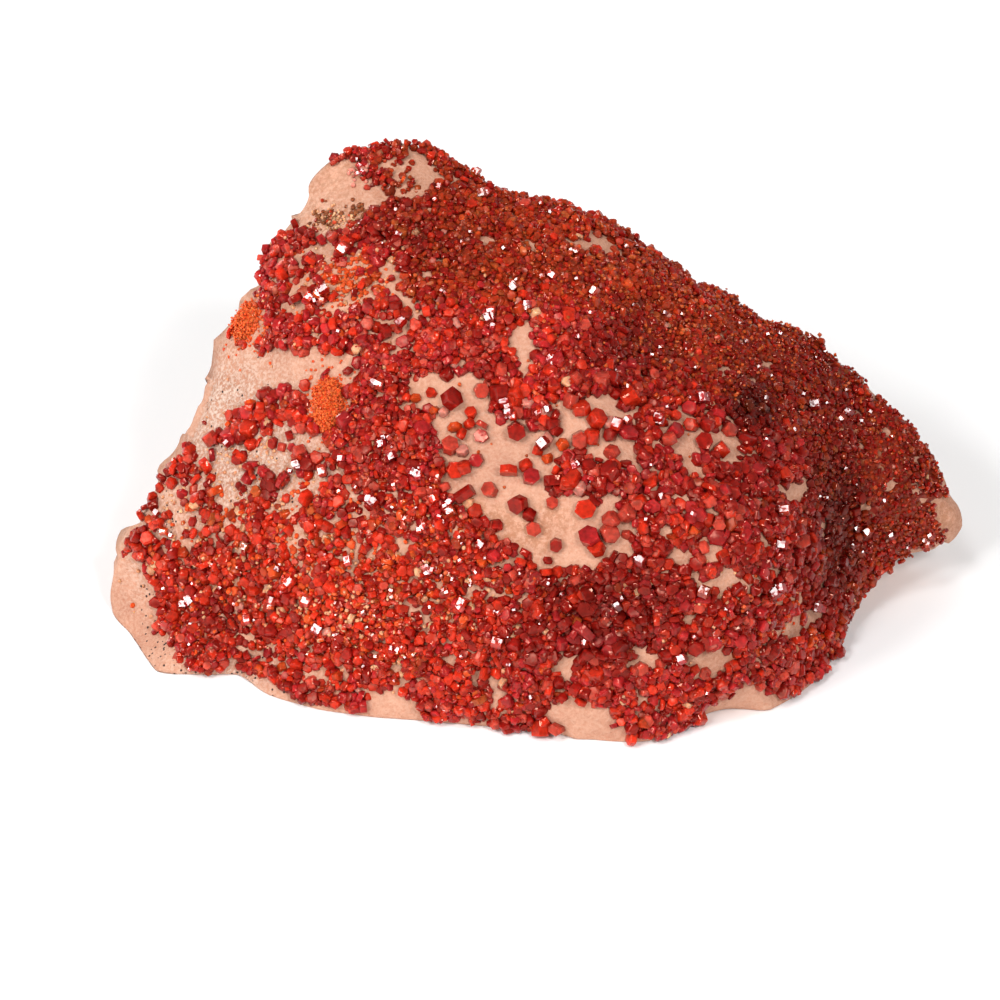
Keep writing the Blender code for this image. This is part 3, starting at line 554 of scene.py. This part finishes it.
def crystal_shapes(places, normals, axes, sizes, slenderness, tints, bevelled, facing=None):
    """Points, faces and tints of separate hexagonal crystals. Each is a prism with sides at
    random distances, sizes across corners and slenderness times as high, and its outer end is
    drawn in by up to a tenth. Its tint is painted lighter with the rise along the normal, by the
    root shade factor times the rise over the size: painted shade at the roots between crystals.
    Its first side looks along facing, if that is given, and then nothing is drawn in."""
    count = len(places)
    reach = sizes * math.cos(math.pi / 6.0) / 2.0
    reaches = reach[:, None] * rng.uniform(0.76, 1.1, (count, 6))
    half = sizes * slenderness / 2.0
    taper = reach * rng.uniform(0.0, 0.1, count) * (facing is None)
    heights, insets = [-half, half], [0 * taper, taper]
    if bevelled:
        bevel = sizes * rng.uniform(0.04, 0.09, count)
        heights.insert(1, half - bevel)
        insets.append(taper + bevel)
    rings = hexagon_rings(reaches, np.stack(heights, axis=1), np.stack(insets, axis=1))
    first = unit(np.cross(random_directions(count), axes)) if facing is None else facing
    turns = np.stack([first, np.cross(axes, first), axes], axis=2)
    offsets = np.einsum("nij,nrcj->nrci", turns, rings)
    rise = np.einsum("nrci,ni->nrc", offsets, normals) / sizes[:, None, None]
    # Painted shade: points towards a crystal's root are darkened, points towards its outer end
    # lightened.
    shades = np.clip(1.0 + PAINTED_ROOT_SHADE * rise[..., None], 0.55, 1.5)
    points = (offsets + places[:, None, None, :]).reshape(-1, 3)
    points[:, 2] = np.maximum(points[:, 2], FLOOR_GAP)
    point_tints = (tints[:, None, None, :3] * shades).reshape(-1, 3)
    return points, stacked_faces(count, rings.shape[1]), np.clip(point_tints, 0.0, 0.95)


def crystal_piece(name, material, *crystals):
    """One piece of the crust, of separate crystals that are given as for crystal_shapes."""
    points, faces, tints = crystal_shapes(*crystals)
    make_piece(name, points, faces, material, tints)


def new_material(name):
    """An empty node material, its node tree and its shader."""
    material = bpy.data.materials.new(name)
    material.use_nodes = True
    return material, material.node_tree, material.node_tree.nodes["Principled BSDF"]


def connect(tree, inputs, terms):
    """Link outputs to some inputs of a node, and set others to numbers or tuples."""
    for key, term in terms.items():
        if isinstance(term, (int, float, tuple)):
            inputs[key].default_value = term
        else:
            tree.links.new(term, inputs[key])


def add_node(tree, kind, terms=None, **settings):
    """A shader node with its settings, and with some inputs linked or set."""
    new = tree.nodes.new("ShaderNode" + kind)
    for key, value in settings.items():
        setattr(new, key, value)
    connect(tree, new.inputs, terms or {})
    return new


def colour_ramp(tree, factor, low, low_colour, high, high_colour):
    """Colour that runs from one to another between two values of the factor."""
    ramp = add_node(tree, "ValToRGB", {"Fac": factor})
    first, last = ramp.color_ramp.elements
    first.position, first.color = low, low_colour
    last.position, last.color = high, high_colour
    return ramp.outputs["Color"]


def blend_colours(tree, share, first, second, blend="MIX"):
    """Colour first where share is 0, and second, or its blend with first, where it is 1."""
    terms = {"Factor": share, 6: first, 7: second}
    return add_node(tree, "Mix", terms, data_type="RGBA", blend_type=blend).outputs[2]


def calculate(tree, operation, *terms):
    """One arithmetic step on outputs or numbers."""
    return add_node(tree, "Math", dict(enumerate(terms)), operation=operation).outputs[0]


def combine(tree, operation, *terms, **values):
    """One step of vector arithmetic on outputs or fixed vectors."""
    terms = {**dict(enumerate(terms)), **values}
    return add_node(tree, "VectorMath", terms, operation=operation).outputs[0]


def grains(tree, place, scale, detail, roughness=0.5):
    """Noise from 0 to 1 with about that many grains to a metre."""
    terms = {"Vector": place, "Scale": scale, "Detail": detail, "Roughness": roughness}
    return add_node(tree, "TexNoise", terms).outputs["Fac"]


def stone_material():
    """Fine-grained salmon stone: cloudy tone with pale grains. The mesh's colours say where it
    has dark specks (red), brown stains with some painted shade (green) and pale loose sand (blue)."""
    material, tree, shader = new_material("salmon_stone")
    tones = STONE_TONES
    place = add_node(tree, "TexCoord").outputs["Object"]
    marks = add_node(tree, "VertexColor", layer_name="tint").outputs["Color"]
    marks = add_node(tree, "SeparateColor", {"Color": marks}).outputs
    clouds = grains(tree, place, 90.0, 8.0, 0.7)
    colour = colour_ramp(tree, clouds, 0.32, tones["dark cloud"], 0.7, tones["pale cloud"])
    grain = grains(tree, place, 1500.0, 4.0, 0.7)
    pale = calculate(tree, "MULTIPLY", calculate(tree, "SUBTRACT", grain, 0.3), 1.2)
    colour = blend_colours(tree, calculate(tree, "MAXIMUM", pale, 0.0), colour, tones["grain"])
    # Brown stain, with painted shade where the marks put it.
    stain_and_shade = calculate(tree, "SUBTRACT", grains(tree, place, 700.0, 5.0, 0.75), 0.44)
    stain_and_shade = calculate(tree, "MULTIPLY", calculate(tree, "MULTIPLY", stain_and_shade, 5.0), marks["Green"])
    stain_and_shade = calculate(tree, "MINIMUM", calculate(tree, "MAXIMUM", stain_and_shade, 0.0), 0.65)
    colour = blend_colours(tree, stain_and_shade, colour, tones["stain_and_shade"])
    sandy = calculate(tree, "SUBTRACT", grains(tree, place, 1500.0, 3.0, 0.6), 0.42)
    sandy = calculate(tree, "MAXIMUM", calculate(tree, "MULTIPLY", sandy, 6.0), 0.0)
    sandy = calculate(tree, "MINIMUM", sandy, 1.0)
    sandy = calculate(tree, "MULTIPLY", sandy, marks["Blue"])
    colour = blend_colours(tree, calculate(tree, "MULTIPLY", sandy, 0.6), colour, tones["sand"])
    dots = add_node(tree, "TexVoronoi", {"Vector": place, "Scale": 900.0}).outputs
    chance = add_node(tree, "SeparateColor", {"Color": dots["Color"]}).outputs["Red"]
    speck = calculate(tree, "MULTIPLY", calculate(tree, "LESS_THAN", dots["Distance"], 0.25),
                      calculate(tree, "LESS_THAN", chance, marks["Red"]))
    colour = blend_colours(tree, speck, colour, tones["speck"])
    height = calculate(tree, "ADD", grain, calculate(tree, "MULTIPLY", sandy, 0.6))
    bump = add_node(tree, "Bump", {"Height": height, "Strength": 0.7, "Distance": 0.5 * MM})
    normal = bump.outputs["Normal"]
    connect(tree, shader.inputs, {"Base Color": colour, "Normal": normal, "Roughness": 0.85})
    return material


def crystal_material(name, side_roughness, end_roughness, clarity=0.0, unevenness=0.16, rounding=0.25,
                     sheen=CRYSTAL_SHEEN, bending=1.45):
    """Crystal in the mesh's own colours, with glossy sides and duller ends, clouded on a scale of a
    millimetre. Its faces are broken into steps that lean by up to half the unevenness each way,
    and shaded as if a share of the rounding of their edges ran across them. clarity is how much
    light passes, sheen the colour of what is mirrored, and bending the refractive index."""
    material, tree, shader = new_material(name)
    place = add_node(tree, "TexCoord").outputs["Object"]
    tint = add_node(tree, "VertexColor", layer_name="tint").outputs["Color"]
    end_face = add_node(tree, "Attribute", attribute_name="end_face").outputs["Fac"]
    roughness = calculate(tree, "MULTIPLY", end_face, end_roughness - side_roughness)
    roughness = calculate(tree, "ADD", roughness, side_roughness)
    shade = colour_ramp(tree, grains(tree, place, 1000.0, 4.0), 0.32, (0.62, 0.62, 0.62, 1.0),
                        0.66, (1.2, 1.2, 1.2, 1.0))
    steps = add_node(tree, "TexVoronoi", {"Vector": place, "Scale": 1400.0}).outputs
    leaning = combine(tree, "SUBTRACT", steps["Color"], (0.5, 0.5, 0.5))
    leaning = combine(tree, "SCALE", leaning, Scale=unevenness)
    geometry = add_node(tree, "NewGeometry").outputs
    rounded = combine(tree, "SCALE", geometry["Normal"], Scale=rounding)
    facing = combine(tree, "ADD", geometry["True Normal"], rounded)
    facing = combine(tree, "NORMALIZE", combine(tree, "ADD", leaning, facing))
    connect(tree, shader.inputs, {
        "Base Color": blend_colours(tree, 1.0, tint, shade, "MULTIPLY"), "Roughness": roughness,
        "Normal": facing, "IOR": bending, "Specular Tint": sheen, "Specular IOR Level": 0.55,
        "Transmission Weight": clarity, "Subsurface Weight": 0.5, "Subsurface Radius": (1.0, 0.3, 0.2),
        "Subsurface Scale": 1.2 * MM,
    })
    return material


def soft_lamp(name, place, power):
    """A square soft light at a place in metres, aimed at the middle of the picture."""
    light = bpy.data.lights.new(name, "AREA")
    light.shape = "SQUARE"
    light.size = LAMP_SIZE
    light.energy = power
    lamp = add_object(name, light)
    lamp.location = place
    aim = Vector(to_space((*PICTURE_MIDDLE, 0.0)))
    lamp.rotation_euler = (aim - Vector(place)).to_track_quat("-Z", "Y").to_euler()


def make_stone():
    """The rock: its CAD facets curved, and the front raised and lowered gently by a noise of about
    6 mm. The back stands out by BACK_DEPTH less the depth of its chips, and by small lumps. That
    relief fades where the rock turns to the front and near the ground, where the rock is flat.
    The rock is stained where the crust thins out, partly as painted shade at the foot of the
    crust, it is given painted shade over the shoulder, and it is stained in patches of about 25 mm on
    the back."""
    points, triangles = curved_facets(*cad_surface("matrix"), STONE_ROWS)
    points[:, 2] = np.maximum(points[:, 2], 0.0)
    normals = corner_normals(points, triangles)
    outward = normals @ FACE_OUT
    back = np.clip(-0.5 - 2.5 * outward, 0.0, 1.0)
    relief = back * np.clip(points[:, 2] / (6.0 * MM) - 0.2, 0.0, 1.0)
    chips = np.clip(BACK_DEPTH + chipped(points, 5), 0.0, 2.0 * BACK_DEPTH)
    lumps = np.maximum(0.5 + layered_noise(points, 5.0 * MM, 7, 3), 0.0)
    height = FRONT_RELIEF * (1.0 - back) * layered_noise(points, 6.0 * MM, 3)
    height += relief * (chips + LUMP_HEIGHT * lumps)
    points = points + normals * (height * MM)[:, None]
    points[:, 2] = np.maximum(points[:, 2], 0.0)
    u, v, _ = to_face(points)
    specks = 0.6 * spots(u, v, SPECK_SPOTS)
    # Brown stains, with painted shade at the foot of the crust and over the shoulder.
    stains_and_shade = spots(u, v, STAIN_AND_SHADE_SPOTS) + 0.25 * np.exp(-((crust_cover(points) - 0.05) / 0.25) ** 2)
    marks = np.stack([specks, stains_and_shade, spots(u, v, SAND_SPOTS)], axis=1)
    marks *= np.clip(1.0 + 5.0 * outward, 0.0, 1.0)[:, None]
    marks[:, 1] += 0.5 * back * np.clip(noise(points, 25.0 * MM, 15), 0.0, 1.0)
    stone = make_piece("stone", points, [triangles], stone_material(), marks)
    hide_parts("matrix")


def closed_sheet(points, normals, triangles, height):
    """Closed sheet over some triangles: its outer side stands off by height along the normals,
    its inner side lies BED_ROOT below, and a wall joins the two round every edge."""
    edges = np.concatenate([triangles[:, pair] for pair in ([0, 1], [1, 2], [2, 0])]).astype(np.int64)
    forward = edges[:, 0] * len(points) + edges[:, 1]
    backward = edges[:, 1] * len(points) + edges[:, 0]
    rim = edges[~np.isin(forward, backward)]
    height = height.copy()
    height[rim.ravel()] = -BED_RIM
    used, packed = np.unique(triangles, return_inverse=True)
    packed = packed.reshape(-1, 3)
    number = np.full(len(points), -1)
    number[used] = np.arange(len(used))
    rim = number[rim]
    wall = np.concatenate([rim[:, ::-1], rim + len(used)], axis=1)
    outer = points[used] + normals[used] * (height[used] * MM)[:, None]
    inner = points[used] - normals[used] * (BED_ROOT * MM)
    return np.concatenate([outer, inner]), [packed, packed[:, ::-1] + len(used), wall]


def zone_tints(points, sandy=0.0, vivid=1.0):
    """A colour for each crystal: drawn from the tones with shares that depend on its place. sandy
    multiplies the share of stone-coloured grains, and vivid those of the orange and the clear
    crystals. The painted shade spots add deep ones and take light away, as painted shade."""
    u, v, _ = to_face(points)
    slope = np.clip(0.5 + inside_distance(u, v, FINE_SLOPE) / 8.0, 0.0, 1.0)
    granular = np.clip(spots(u, v, GRANULAR_SPOTS), 0.0, 1.0) * (1.0 - slope)
    elsewhere = 1.0 - np.maximum(slope, granular)
    # Painted shade from the spots, for valleys and slopes turned from the lamps: deep crystals are added
    # there and all are darkened.
    dark = np.clip(spots(u, v, PAINTED_SHADE_SPOTS), 0.0, 0.8)
    shares = {tone: on_slope * slope + in_granular * granular + in_rest * elsewhere
              for tone, (on_slope, in_granular, in_rest) in TONE_SHARES.items()}
    shares["deep"] += 3.0 * dark
    shares["orange"] += 0.4 * spots(u, v, ORANGE_SPOTS)
    shares["orange"] *= vivid
    shares["clear"] *= vivid
    shares["sand"] *= sandy
    limits = np.cumsum(np.stack(list(shares.values())), axis=0)
    draw = rng.random(len(points)) * limits[-1]
    choice = np.sum(draw[None] > limits, axis=0)
    tints = np.array([TONES[tone] for tone in shares])[choice]
    # The painted shade darkens the tints; the noise and the random factor vary the tone.
    light = (1.0 - dark) * (1.0 + 0.15 * noise(points, 9.0 * MM, 31))
    return tints * (light * rng.uniform(0.8, 1.15, len(points)))[:, None]


def make_bed():
    """The granular bed: a closed sheet over the front wherever the cover suffices. It is as high as
    the cover lets it rise, and roughened by a noise of about 4 mm."""
    cover = crust_cover(bed_points)
    covered = (front & (cover > BED_COVER - 0.04))[bed_triangles].all(axis=1)
    height = bed_rise(cover) * BED_HEIGHT
    height += 0.4 * layered_noise(bed_points, 4.0 * MM, 21, 2) * (height > 0.3)
    points, faces = closed_sheet(bed_points, bed_normals, bed_triangles[covered], height)
    points[:, 2] = np.maximum(points[:, 2], FLOOR_GAP)
    # Painted shade: the bed between the crystals is darkened to 0.7 of its tones.
    tints = zone_tints(points, 0.25) * 0.7
    material = crystal_material("druse_bed", 0.4, 0.4)
    bed = make_piece("druse_bed", points, faces, material, tints)
    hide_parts("vanadinite_crust")


def scatter_seeds():
    """Places spread evenly over the front, with the normals there: random places in random
    triangles, where a triangle's chance is its share of the area."""
    triangles = bed_triangles[front[bed_triangles].all(axis=1)]
    a, b, c = (bed_points[triangles[:, k]] for k in range(3))
    areas = np.linalg.norm(np.cross(b - a, c - a), axis=1)
    chosen = triangles[rng.choice(len(triangles), SEEDS, p=areas / areas.sum())]
    shares = rng.dirichlet((1.0, 1.0, 1.0), SEEDS)
    places = np.einsum("nk,nkx->nx", shares, bed_points[chosen])
    return places, unit(np.einsum("nk,nkx->nx", shares, bed_normals[chosen]))


def grow_crystals(name, picked, share, vivid, bevelled):
    """One piece with a crystal on each of some seeds, sized by the share of the typical size. The
    higher a crystal stands, the lighter it is painted: painted shade on the low-lying ones."""
    count = len(picked)
    normals = seed_normals[picked]
    sizes = np.maximum(seed_size[picked] * share, SMALLEST) * rng.lognormal(0.0, 0.18, count) * MM
    axes = tilted_axes(normals, rng.uniform(0, 88, count), rng.uniform(0, 360, count))
    rise = rng.uniform(0.0, 1.0, count)
    stand = bed_rise(seed_cover[picked]) * BED_HEIGHT * MM
    places = seeds[picked] + normals * (stand + sizes * (0.4 * rise - 0.1))[:, None]
    # Painted shade: crystals that stand lower are darkened.
    tints = zone_tints(places, 0.05 * vivid, vivid) * (0.8 + 0.34 * rise)[:, None]
    slenderness = rng.uniform(0.24, 0.62, count)
    crystal_piece(name, crystal_gloss, places, normals, axes, sizes, slenderness, tints, bevelled)


def grow_layer(name, spacing, smallest, share, need, vivid, bevelled):
    """A layer of crystals: the first seed in each cubic cell of the spacing, where the cover and the
    typical size suffice, fewer where the cover only just does. A layer that isn't bevelled makes
    two pieces."""
    fit = np.flatnonzero((seed_cover > need) & (seed_size > smallest))
    cells = np.floor(seeds[fit] / (spacing * MM)).astype(np.int64)
    _, first = np.unique(cells, axis=0, return_index=True)
    picked = fit[np.sort(first)]
    picked = picked[seed_cover[picked] > need + 0.3 * rng.random(len(picked))]
    if bevelled:
        grow_crystals(name, picked, share, vivid, True)
    else:
        left = seed_u[picked] < 0.0
        grow_crystals(name + "_left", picked[left], share, vivid, False)
        grow_crystals(name + "_right", picked[~left], share, vivid, False)


def scatter_dustings():
    """The dustings of fine grains, on the stone and over the crystals."""
    chosen, sizes, tints = [], [], []
    for *spot, count, smallest, largest, tone in DUSTINGS:
        chance = spots(seed_u, seed_v, [(*spot, 1.0)])
        chosen.append(rng.choice(SEEDS, count, replace=False, p=chance / chance.sum()))
        sizes.append(rng.uniform(smallest, largest, count) * MM)
        tints.append(np.array(TONES[tone][:3]) * rng.uniform(0.8, 1.15, count)[:, None])
    chosen, sizes, tints = (np.concatenate(part) for part in (chosen, sizes, tints))
    count = len(chosen)
    normals = seed_normals[chosen]
    stand = bed_rise(seed_cover[chosen]) * (BED_HEIGHT + rng.uniform(0.1, 1.3, count))
    places = seeds[chosen] + normals * (stand * MM + 0.15 * sizes)[:, None]
    axes = tilted_axes(normals, rng.uniform(0, 80, count), rng.uniform(0, 360, count))
    slenderness = rng.uniform(0.2, 0.9, count)
    material = crystal_material("grain", 0.3, 0.4)
    crystal_piece("scattered_grains", material, places, normals, axes, sizes, slenderness, tints, False)


def front_at(face_us, face_vs):
    """Points and normals of the front nearest to some face coordinates."""
    u, v, _ = to_face(bed_points)
    distance = np.hypot(u[None] - face_us[:, None], v[None] - face_vs[:, None])
    nearest = np.argmin(distance + 100.0 * ~front[None], axis=1)
    return bed_points[nearest], bed_normals[nearest]


def place_single_crystals():
    """The listed single crystals. The middle of each stands 0.3 of its size above the rock."""
    table = np.array([row[:6] for row in SCATTERED])
    places, normals = front_at(table[:, 0], table[:, 1])
    sizes = table[:, 2] * MM
    axes = tilted_axes(normals, table[:, 4], table[:, 5])
    places = places + normals * (sizes * 0.3)[:, None]
    tints = 0.88 * np.array([TONES[row[6]] for row in SCATTERED])
    crystal_piece("scattered_crystals", crystal_gloss, places, normals, axes, sizes, table[:, 3],
                  tints, True)


def place_sparkles():
    """Crystals that sparkle, up to three at each listed place and small ones at seeds. The first
    side of each looks halfway between the camera and one of the mirrored lamps."""
    listed = np.repeat(np.array(SPARKLES, dtype=float), rng.integers(1, 4, len(SPARKLES)), axis=0)
    listed += rng.uniform(-0.9, 0.9, listed.shape)
    places, normals = front_at(*listed.T)
    small = np.flatnonzero(seed_cover > SPARKLE_COVER)
    chance = 0.25 + spots(seed_u[small], seed_v[small], [SPARKLE_SPOT])
    small = rng.choice(small, SMALL_SPARKLES, replace=False, p=chance / chance.sum())
    sizes = MM * np.concatenate([rng.uniform(1.2, 3.0, len(places)), rng.uniform(0.6, 1.3, len(small))])
    lift = np.repeat((BED_HEIGHT, BED_HEIGHT + 0.4), (len(places), len(small)))
    places = np.concatenate([places, seeds[small]])
    normals = np.concatenate([normals, seed_normals[small]])
    count = len(places)
    places = places + normals * (lift * MM + 0.5 * sizes)[:, None]
    lamps = np.array(LAMPS)[rng.integers(0, MIRRORED_LAMPS, count), :3]
    facing = unit(unit(lamps - places) + unit(EYE - places))
    axes = unit(np.cross(facing, random_directions(count)))
    slenderness = rng.uniform(0.5, 0.8, count)
    mirror = crystal_material("sparkling_crystal", 0.08, 0.3, 0.15, 0.12, 0.0, (1.0, 1.0, 1.0, 1.0), 1.6)
    crystal_piece("sparkling_crystals", mirror, places, normals, axes, sizes, slenderness,
                  zone_tints(places), True, facing)


def make_tuft(node, count, material):
    """A tuft: the CAD's dome, curved, and that many fine grains standing on it at random."""
    dome_points, dome_triangles = curved_facets(*cad_surface(node), TUFT_ROWS)
    dome_normals = corner_normals(dome_points, dome_triangles)
    picked = rng.integers(0, len(dome_points), count)
    normals = dome_normals[picked]
    sizes = rng.uniform(0.3, 0.6, count) * MM
    axes = unit(normals + 0.8 * random_directions(count))
    places = dome_points[picked] + 0.5 * MM * rng.normal(size=(count, 3))
    tone = np.array(TONES["tufted"][:3])
    tints = tone * rng.uniform(0.85, 1.4, count)[:, None]
    slenderness = rng.uniform(0.6, 1.3, count)
    points, faces, tints = crystal_shapes(places, normals, axes, sizes, slenderness, tints, False)
    faces = [block + len(dome_points) for block in faces] + [dome_triangles]
    points = np.concatenate([dome_points, points])
    tints = np.concatenate([np.tile(tone, (len(dome_points), 1)), tints])
    tuft = make_piece(node + "_grains", points, faces, material, tints)
    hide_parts(node)


def bevel_lone_crystal(node, tone):
    """One of the CAD's lone crystals with bevelled edges, painted lighter towards its outer end: painted
    shade at its root.
    """
    points, triangles = cad_surface(node)
    rise = (points - points.mean(axis=0)) @ FACE_OUT
    # Painted shade: darker at the root, lighter towards the outer end.
    tints = np.array(TONES[tone][:3]) * (0.85 + PAINTED_ROOT_SHADE * rise / np.ptp(rise))[:, None]
    crystal = make_piece("lone_" + node, points, [triangles], crystal_gloss, tints)
    bevel = crystal.modifiers.new("edges", "BEVEL")
    bevel.width = LONE_BEVEL
    bevel.segments = 2
    bevel.limit_method = "ANGLE"
    bevel.angle_limit = math.radians(25.0)
    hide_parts(node)


def make_floor():
    """A pale round floor just under the rock."""
    mesh = bpy.data.meshes.new("floor")
    turns = np.arange(FLOOR_SIDES) * 2.0 * math.pi / FLOOR_SIDES
    rim = [(FLOOR_RADIUS * math.cos(turn), FLOOR_RADIUS * math.sin(turn), 0.0) for turn in turns]
    mesh.from_pydata(rim, [], [range(FLOOR_SIDES)])
    floor = add_object("floor", mesh)
    floor.location.z = -FLOOR_GAP
    material, tree, shader = new_material("floor")
    connect(tree, shader.inputs, {"Base Color": (0.95, 0.95, 0.95, 1.0), "Roughness": 0.9})
    mesh.materials.append(material)


def make_sky():
    """White surroundings, bright at the level of the eye and dimmer above."""
    world = bpy.data.worlds.new("studio")
    world.use_nodes = True
    sky = world.node_tree
    direction = add_node(sky, "TexCoord").outputs["Generated"]
    height = add_node(sky, "SeparateXYZ", {"Vector": direction}).outputs["Z"]
    terms = {"Value": height, "From Min": 0.0, "From Max": 0.35, "To Min": 0.92, "To Max": 0.32}
    strength = add_node(sky, "MapRange", terms).outputs[0]
    connect(sky, sky.nodes["Background"].inputs, {"Color": (1.0, 1.0, 1.0, 1.0), "Strength": strength})
    bpy.context.scene.world = world


def make_camera():
    """A camera square to the leaning front."""
    data = bpy.data.cameras.new("camera")
    data.sensor_width = SENSOR_WIDTH
    data.lens = SENSOR_WIDTH * CAMERA_DISTANCE / PICTURE_WIDTH
    data.clip_end = 100.0
    camera = add_object("camera", data)
    camera.matrix_world = Matrix.Translation(Vector(EYE)) @ Matrix(
        ((1.0, 0.0, 0.0), (0.0, LEAN_SIN, -LEAN_COS), (0.0, LEAN_COS, LEAN_SIN))).to_4x4()
    bpy.context.scene.camera = camera
    bpy.context.scene.view_settings.view_transform = "Standard"


rng = np.random.default_rng(41)
make_stone()

# The surface under the crust: the rock's facets curved, and its part that makes the front.
bed_points, bed_triangles = curved_facets(*cad_surface("matrix"), BED_ROWS)
bed_normals = corner_normals(bed_points, bed_triangles)
front = (bed_normals @ FACE_OUT > FRONT_TURN) & (bed_points[:, 2] > BED_FOOT)
make_bed()
seeds, seed_normals = scatter_seeds()
seed_u, seed_v, _ = to_face(seeds)
seed_cover = crust_cover(seeds)
seed_size = typical_size(seeds)
crystal_gloss = crystal_material("red_crystal", 0.1, 0.28, 0.25, rounding=0.45)
for layer in CRYSTAL_LAYERS:
    grow_layer(*layer)
scatter_dustings()
place_single_crystals()
place_sparkles()
tuft_gloss = crystal_material("orange_crystal", 0.3, 0.4)
for node, (*_, count) in TUFTS.items():
    make_tuft(node, count, tuft_gloss)
lone_nodes = sorted(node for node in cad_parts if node.startswith("crystal_"))
for place, node in enumerate(lone_nodes):
    bevel_lone_crystal(node, LONE_TONES[place % len(LONE_TONES)])

make_floor()
make_sky()
for number, (*place, power) in enumerate(LAMPS):
    soft_lamp(f"lamp_{number}", place, power)
make_camera()
